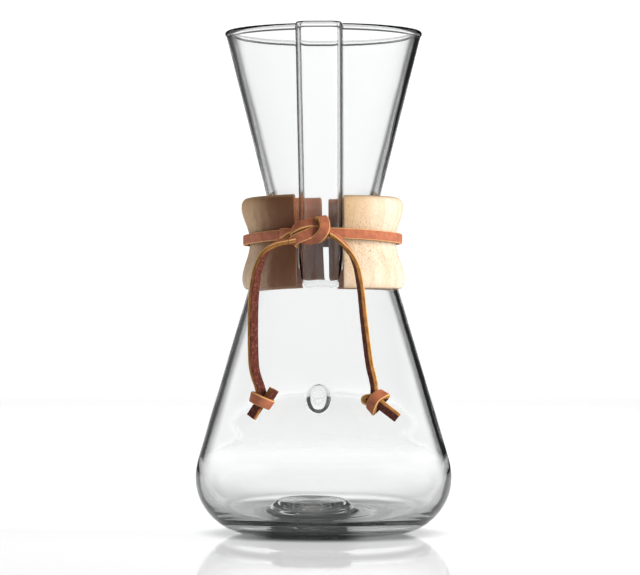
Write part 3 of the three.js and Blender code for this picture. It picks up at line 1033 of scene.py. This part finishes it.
def wood_material(collar):
    """Pale turned wood: upright grain, short dark flecks, and open pores where its ends are cut."""
    material, tree, shader = new_material("turned_wood")
    place = object_place(tree)
    parts = split(tree, place)
    tone, height = fibres(tree, place, 900.0, 16.0)
    streaks = noise(tree, squeezed(tree, place, 0.12), 260.0, detail=5.0, distortion=0.15)
    base = mixed(tree, ranged(tree, streaks, 0.3, 0.72, 0.0, 0.55), collar.pale, collar.streak_and_shade)

    # Painted shade: seen from in front, the wood is painted tan towards the middle and brown over the left
    # half's front, where little light falls. The brown thins out again towards the left half's outer side, a
    # painted highlight from the light at the left.
    across = calculated(tree, "ADD", parts["X"], product(tree, streaks, 9 * MM))
    front_shade = ranged(tree, across, 34 * MM, 15 * MM, 0.0, 0.95)
    front_shade = product(tree, front_shade, ranged(tree, parts["Z"], collar.bottom, collar.top, 0.25, 1.0))
    base = mixed(tree, front_shade, base, collar.streak_and_shade)
    # Painted shade over the left half's front, lifting to a painted highlight at its outer side.
    left_shade = ranged(tree, across, 12 * MM, -6 * MM)
    left_shade = product(tree, left_shade, ranged(tree, across, -29 * MM, -14 * MM, 0.15, 1.0))
    base = mixed(tree, product(tree, left_shade, 0.9), base, collar.left_shade)

    # The bore is where the surface faces the collar's axis. It is painted a darker reddish brown, a painted
    # shade for the weakly lit inside of the collar.
    surface = added(tree, "ShaderNodeNewGeometry").outputs
    level = added(tree, "ShaderNodeVectorMath", {0: place, 1: (1.0, 1.0, 0.0)}, operation="MULTIPLY")
    inputs = {0: level.outputs["Vector"], 1: surface["True Normal"]}
    outward = added(tree, "ShaderNodeVectorMath", inputs, operation="DOT_PRODUCT").outputs["Value"]
    bore_shade = ranged(tree, outward, -8 * MM, -16 * MM)
    base = mixed(tree, product(tree, bore_shade, 0.85), base, collar.bore_shade)
    base = mixed(tree, product(tree, tone, 0.22), base, collar.streak_and_shade, mode="MULTIPLY")

    flecks = ranged(tree, noise(tree, squeezed(tree, place, 0.3), 2600.0, detail=1.5), 0.55, 0.68)
    middle = (collar.top + collar.bottom) / 2
    from_waist = calculated(tree, "ABSOLUTE", calculated(tree, "SUBTRACT", parts["Z"], middle))
    at_waist = ranged(tree, from_waist, 15 * MM, 5 * MM, 0.25, 0.6)
    base = mixed(tree, product(tree, flecks, at_waist), base, collar.fleck)

    upright = calculated(tree, "ABSOLUTE", split(tree, surface["Normal"])["Z"])
    end_grain = ranged(tree, upright, 0.45, 0.9)
    pores = ranged(tree, noise(tree, place, 1500.0, detail=2.0), 0.56, 0.68)
    pores = product(tree, pores, end_grain)
    base = mixed(tree, product(tree, end_grain, 0.35), base, collar.streak_and_shade)
    base = mixed(tree, product(tree, pores, 0.6), base, collar.fleck)
    feed(shader["Base Color"], base)
    feed(shader["Roughness"], ranged(tree, tone, 0.0, 1.0, 0.42, 0.6))
    shader["Specular IOR Level"].default_value = 0.22
    holes = product(tree, calculated(tree, "ADD", flecks, pores), 0.8)
    relief = calculated(tree, "SUBTRACT", height, holes)
    feed(shader["Normal"], bumped(tree, relief, 0.35, 0.12 * MM))
    return material


def darker(shade, share):
    return tuple(value * share for value in shade)


def leather_material(lace):
    """Leather lace: a burnished smooth side, golden cut edges and a fibrous suede side."""
    material, tree, shader = new_material("leather_lace")
    own = added(tree, "ShaderNodeAttribute", attribute_name=LACE_ATTRIBUTE)
    parts = split(tree, own.outputs["Vector"])
    smooth_side = ranged(tree, parts["Y"], 0.55, 0.9)
    rough_side = ranged(tree, parts["Y"], -0.6, -0.9)
    place = object_place(tree)

    along = {
        "X": product(tree, parts["X"], lace.width / 2),
        "Y": product(tree, parts["Y"], lace.thickness / 2),
        "Z": parts["Z"],
    }
    along = added(tree, "ShaderNodeCombineXYZ", along).outputs["Vector"]
    tone, height = fibres(tree, along, 2600.0, 3.0)
    mottle = noise(tree, place, 420.0, detail=5.0)
    pebble = added(tree, "ShaderNodeTexVoronoi", {"Scale": 2200.0, "Vector": place})
    creases = ranged(tree, pebble.outputs["Distance"], 0.0, 0.5)

    burnished = ranged(tree, mottle, 0.35, 0.7)
    burnished = mixed(tree, burnished, lace.smooth_side, darker(lace.smooth_side, 0.72))
    raw = mixed(tree, tone, darker(lace.cut_edge, 0.3), lace.cut_edge)
    nap = mixed(tree, tone, darker(lace.rough_side, 0.25), lace.rough_side)
    lifted = ranged(tree, noise(tree, along, 1500.0, detail=2.0), 0.54, 0.68)
    nap = mixed(tree, product(tree, lifted, 0.55), nap, lace.lifted)
    base = mixed(tree, smooth_side, raw, burnished)
    base = mixed(tree, rough_side, base, nap)
    # The bright line along the smooth side's long edges: partly paler worn leather, partly a painted
    # highlight where the rounded edge catches the light.
    at_edge = ranged(tree, calculated(tree, "ABSOLUTE", parts["X"]), 0.82, 0.94)
    worn_and_glint = product(tree, at_edge, ranged(tree, parts["Y"], 0.35, 0.8))
    base = mixed(tree, product(tree, worn_and_glint, 0.85), base, lace.corner)
    feed(shader["Base Color"], base)
    feed(shader["Roughness"], calculated(tree, "SUBTRACT", 0.9, product(tree, smooth_side, 0.42)))
    shader["Specular IOR Level"].default_value = 0.35
    rough_relief = product(tree, height, calculated(tree, "SUBTRACT", 1.0, smooth_side))
    fine_relief = product(tree, creases, product(tree, smooth_side, 0.25))
    relief = calculated(tree, "ADD", rough_relief, fine_relief)
    feed(shader["Normal"], bumped(tree, relief, 0.8, 0.25 * MM))
    return material


def shared_material(name, make, settings):
    """The material of that name, made when it is first asked for."""
    return bpy.data.materials.get(name) or make(settings)


# How bright the backdrop is at each bearing in degrees: 0 is straight behind, positive is to the right.
WALL_LEVELS = [
    (-180, 0.35),
    (-135, 0.35),
    (-115, 0.8),
    (-58, 0.8),
    (-36, 0.1),
    (-21, 0.05),
    (-17, 0.3),
    (-14.5, 0.78),
    (-13, 1.0),
    (8, 1.0),
    (11.5, 0.02),
    (34, 0.02),
    (52, 0.9),
    (115, 0.9),
    (135, 0.35),
    (180, 0.35),
]


def backdrop_material(stage):
    """Pale paper that glows: bright behind the object, dim to either side of it, with a painted shadow under
    its foot.
    """
    material, tree, shader = new_material("studio_paper")
    shader["Roughness"].default_value = 0.04
    shader["IOR"].default_value = 1.07
    parts = split(tree, object_place(tree))
    squares = [calculated(tree, "POWER", parts[axis], 2.0) for axis in ("X", "Y")]
    reach = calculated(tree, "SQRT", calculated(tree, "ADD", *squares))
    wall = ranged(tree, reach, stage.floor_radius, stage.floor_radius + 60 * MM)

    # The wall's light changes with the bearing, and fades out above the height of the object.
    bearing = calculated(tree, "ARCTAN2", parts["X"], parts["Y"])
    turn = calculated(tree, "ADD", calculated(tree, "DIVIDE", bearing, 2 * math.pi), 0.5)
    around = ramp(tree, turn, [(0.5 + angle / 360, level) for angle, level in WALL_LEVELS])
    fading = ranged(tree, parts["Z"], 600 * MM, 950 * MM, 1.0, 0.08)
    around = mixed(tree, 1.0, around, fading, mode="MULTIPLY")

    # The floor's light starts beyond the foot, leaving a painted shadow round it. It is stronger behind the
    # object and falls off outwards.
    floor = product(
        tree,
        ranged(tree, reach, 40 * MM, 57 * MM),
        ranged(tree, reach, 300 * MM, 1100 * MM, 1.0, stage.floor_edge),
    )
    floor = product(tree, floor, ranged(tree, parts["Y"], 0.0, 100 * MM, 1.0, 1.6))
    floor = product(tree, floor, stage.floor_glow)
    grey = {channel: floor for channel in ("Red", "Green", "Blue")}
    lit_floor = added(tree, "ShaderNodeCombineColor", grey).outputs["Color"]
    feed(shader["Emission Color"], mixed(tree, wall, lit_floor, around))
    shader["Emission Strength"].default_value = stage.glow

    # Painted shadow: close under the foot the paper is painted dark, most of all under the base's hollow.
    from_hollow = calculated(tree, "ABSOLUTE", calculated(tree, "ADD", parts["X"], VesselShape.off_centre))
    under = ranged(tree, from_hollow, 14 * MM, 26 * MM)
    under = mixed(tree, under, (0.02, 0.02, 0.02), (0.5, 0.5, 0.5))
    shade = mixed(tree, ranged(tree, reach, 28 * MM, 52 * MM), under, (0.55, 0.55, 0.55))
    paper = mixed(tree, 1.0, (0.7, 0.7, 0.7), around, mode="MULTIPLY")
    feed(shader["Base Color"], mixed(tree, wall, shade, paper))
    return material


# ---- operators ------------------------------------------------------------------------------------
class BREWER_OT_camera(bpy.types.Operator):
    """Places the camera in front of the spout, a little below the waist"""

    bl_idname = "brewer.camera"
    bl_label = "Camera"

    def execute(self, context):
        stage = context.scene.brewer_stage
        data = bpy.data.cameras.new("camera")
        data.lens = stage.lens
        data.clip_end = 50.0
        camera = bpy.data.objects.new("camera", data)
        context.scene.collection.objects.link(camera)
        right = Vector((math.cos(stage.azimuth), math.sin(stage.azimuth), 0))
        back = Vector((math.sin(stage.azimuth), -math.cos(stage.azimuth), 0))
        aim = Vector((0, 0, stage.aim_height)) - right * stage.aim_left
        camera.location = aim + back * stage.distance
        camera.location.z = stage.eye_height
        camera.rotation_euler = (aim - camera.location).to_track_quat("-Z", "Y").to_euler()
        context.scene.camera = camera
        return {"FINISHED"}


class BREWER_OT_tails(bpy.types.Operator):
    """Makes the lace's two hanging tails with the stopper knots at their ends"""

    bl_idname = "brewer.tails"
    bl_label = "Tails and end knots"

    def execute(self, context):
        lace = context.scene.brewer_lace
        leather = shared_material("leather_lace", leather_material, lace)
        for side, route, outward, twist, strands in (
            ("left", LEFT_ROUTE, -1, 50, left_end_knot()),
            ("right", RIGHT_ROUTE, 1, 23, right_end_knot()),
        ):
            strand = tail_strand(route, outward, math.radians(twist))
            tail = lace_piece(f"lace_tail_{side}", [strand], lace, leather)
            knot = lace_piece(f"lace_end_knot_{side}", strands, lace, leather)
            for piece, part in ((tail, "tie_tail"), (knot, "tie_end_knot")):
                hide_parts(f"{part}_{side}")
                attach(piece, f"tail_{side}")
        return {"FINISHED"}


class BREWER_OT_vessel(bpy.types.Operator):
    """Makes the glass vessel: funnel, spout channel, waist, flask, base and button"""

    bl_idname = "brewer.vessel"
    bl_label = "Glass vessel"

    def execute(self, context):
        glass = context.scene.brewer_glass
        vessel = build_vessel(glass)
        vessel.data.materials.append(shared_material("blown_glass", glass_material, glass))
        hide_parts("glass_vessel")
        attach(vessel, "vessel")
        return {"FINISHED"}


class BREWER_OT_collar(bpy.types.Operator):
    """Makes the two halves of the turned wood collar"""

    bl_idname = "brewer.collar"
    bl_label = "Wood collar"

    def execute(self, context):
        collar = context.scene.brewer_collar
        shape = VesselShape(context.scene.brewer_glass)
        wood = shared_material("turned_wood", wood_material, collar)
        for side, word in ((-1, "left"), (1, "right")):
            half = build_collar_half(collar, shape, side)
            half.data.materials.append(wood)
            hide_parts(f"collar_half_{word}")
            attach(half, f"collar_{word}")
        return {"FINISHED"}


class BREWER_OT_band(bpy.types.Operator):
    """Makes the lace's band round the collar"""

    bl_idname = "brewer.band"
    bl_label = "Lace band"

    def execute(self, context):
        lace = context.scene.brewer_lace
        leather = shared_material("leather_lace", leather_material, lace)
        for side, word in ((-1, "left"), (1, "right")):
            band = lace_piece(f"lace_band_{word}", [band_strand(lace, side)], lace, leather)
            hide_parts(f"tie_band_{word}")
            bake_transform(band)
        return {"FINISHED"}


class BREWER_OT_knot(bpy.types.Operator):
    """Makes the main knot's turns in front of the spout channel"""

    bl_idname = "brewer.knot"
    bl_label = "Main knot"

    def execute(self, context):
        lace = context.scene.brewer_lace
        leather = shared_material("leather_lace", leather_material, lace)
        for strands, word in ((LEFT_KNOT, "left"), (RIGHT_KNOT, "right")):
            knot = lace_piece(f"lace_knot_{word}", strands, lace, leather)
            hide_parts(f"tie_knot_{word}")
            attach(knot, f"collar_{word}")
        return {"FINISHED"}


class BREWER_OT_stage(bpy.types.Operator):
    """Makes the white floor and backdrop, and the soft lights"""

    bl_idname = "brewer.stage"
    bl_label = "Floor and lights"

    def execute(self, context):
        stage = context.scene.brewer_stage
        self.make_backdrop(stage)
        self.add_light("key_softbox", (1.35, -0.45, 0.55), (0.9, 1.1), stage.key_power, in_gloss=False)
        self.add_light("fill_softbox", (-1.3, 0.35, 0.4), (0.6, 1.0), stage.fill_power, in_gloss=False)
        self.add_light("top_softbox", (0.0, 0.2, 1.6), (0.9, 0.9), stage.top_power)
        world = bpy.data.worlds.new("studio")
        world.use_nodes = True
        background = world.node_tree.nodes["Background"]
        background.inputs["Color"].default_value = (1.0, 1.0, 1.0, 1.0)
        background.inputs["Strength"].default_value = stage.room_light
        context.scene.world = world
        context.scene.view_settings.view_transform = "Standard"
        return {"FINISHED"}

    def make_backdrop(self, stage):
        edge, cove = stage.floor_radius, stage.cove_radius
        outline = [(0.0, 0.0), (0.4, 0.0), (1.0, 0.0), (edge, 0.0)]
        for angle in spread(0.0, math.pi / 2, 12)[1:]:
            outline.append((edge + cove * math.sin(angle), cove * (1 - math.cos(angle))))
        outline.append((edge + cove, stage.wall_top))
        mesh = bmesh.new()
        chain = [mesh.verts.new((radius, 0, z)) for radius, z in outline]
        edges = [mesh.edges.new(pair) for pair in zip(chain, chain[1:])]
        bmesh.ops.spin(
            mesh,
            geom=chain + edges,
            cent=(0, 0, 0),
            axis=(0, 0, 1),
            angle=2 * math.pi,
            steps=96,
            use_merge=True,
        )
        bmesh.ops.remove_doubles(mesh, verts=mesh.verts, dist=1e-5)
        for face in mesh.faces:
            middle = face.calc_center_median()
            inward = Vector((-middle.x, -middle.y, 1))
            if face.normal.dot(inward) < 0:
                face.normal_flip()
        backdrop = finished("backdrop", mesh)
        backdrop.data.materials.append(backdrop_material(stage))

    def add_light(self, name, place, size, power, in_gloss=True):
        data = bpy.data.lights.new(name, "AREA")
        data.shape = "RECTANGLE"
        data.size, data.size_y = size
        data.energy = power
        light = bpy.data.objects.new(name, data)
        light.location = place
        aim = Vector((0, 0, 0.12)) - light.location
        light.rotation_euler = aim.to_track_quat("-Z", "Y").to_euler()
        light.visible_glossy = in_gloss
        light.visible_transmission = in_gloss
        light.visible_camera = False
        bpy.context.scene.collection.objects.link(light)


class BREWER_PT_panel(bpy.types.Panel):
    """Lists the pieces and the sizes that they are made from"""

    bl_idname = "BREWER_PT_panel"
    bl_label = "Hourglass coffee maker"
    bl_space_type = "VIEW_3D"
    bl_region_type = "UI"
    bl_category = "Coffee maker"

    def draw(self, context):
        layout = self.layout
        for operator in OPERATORS:
            layout.operator(operator.bl_idname)
        for name, kind in SETTINGS.items():
            box = layout.box()
            box.label(text=kind.__doc__)
            for key in kind.__annotations__:
                box.prop(getattr(context.scene, name), key)


SETTINGS = {
    "brewer_glass": GlassSettings,
    "brewer_collar": CollarSettings,
    "brewer_lace": LaceSettings,
    "brewer_stage": StageSettings,
}
OPERATORS = (
    BREWER_OT_camera,
    BREWER_OT_tails,
    BREWER_OT_vessel,
    BREWER_OT_collar,
    BREWER_OT_band,
    BREWER_OT_knot,
    BREWER_OT_stage,
)


def register():
    for kind in (*SETTINGS.values(), *OPERATORS, BREWER_PT_panel):
        bpy.utils.register_class(kind)
    for name, kind in SETTINGS.items():
        setattr(bpy.types.Scene, name, bpy.props.PointerProperty(type=kind))


def unregister():
    for name in SETTINGS:
        delattr(bpy.types.Scene, name)
    for kind in reversed((*SETTINGS.values(), *OPERATORS, BREWER_PT_panel)):
        bpy.utils.unregister_class(kind)


def main():
    register()
    bpy.ops.brewer.camera()
    bpy.ops.brewer.tails()
    bpy.ops.brewer.vessel()
    bpy.ops.brewer.collar()
    bpy.ops.brewer.band()
    bpy.ops.brewer.knot()
    bpy.ops.brewer.stage()


if __name__ == "__main__":
    main()
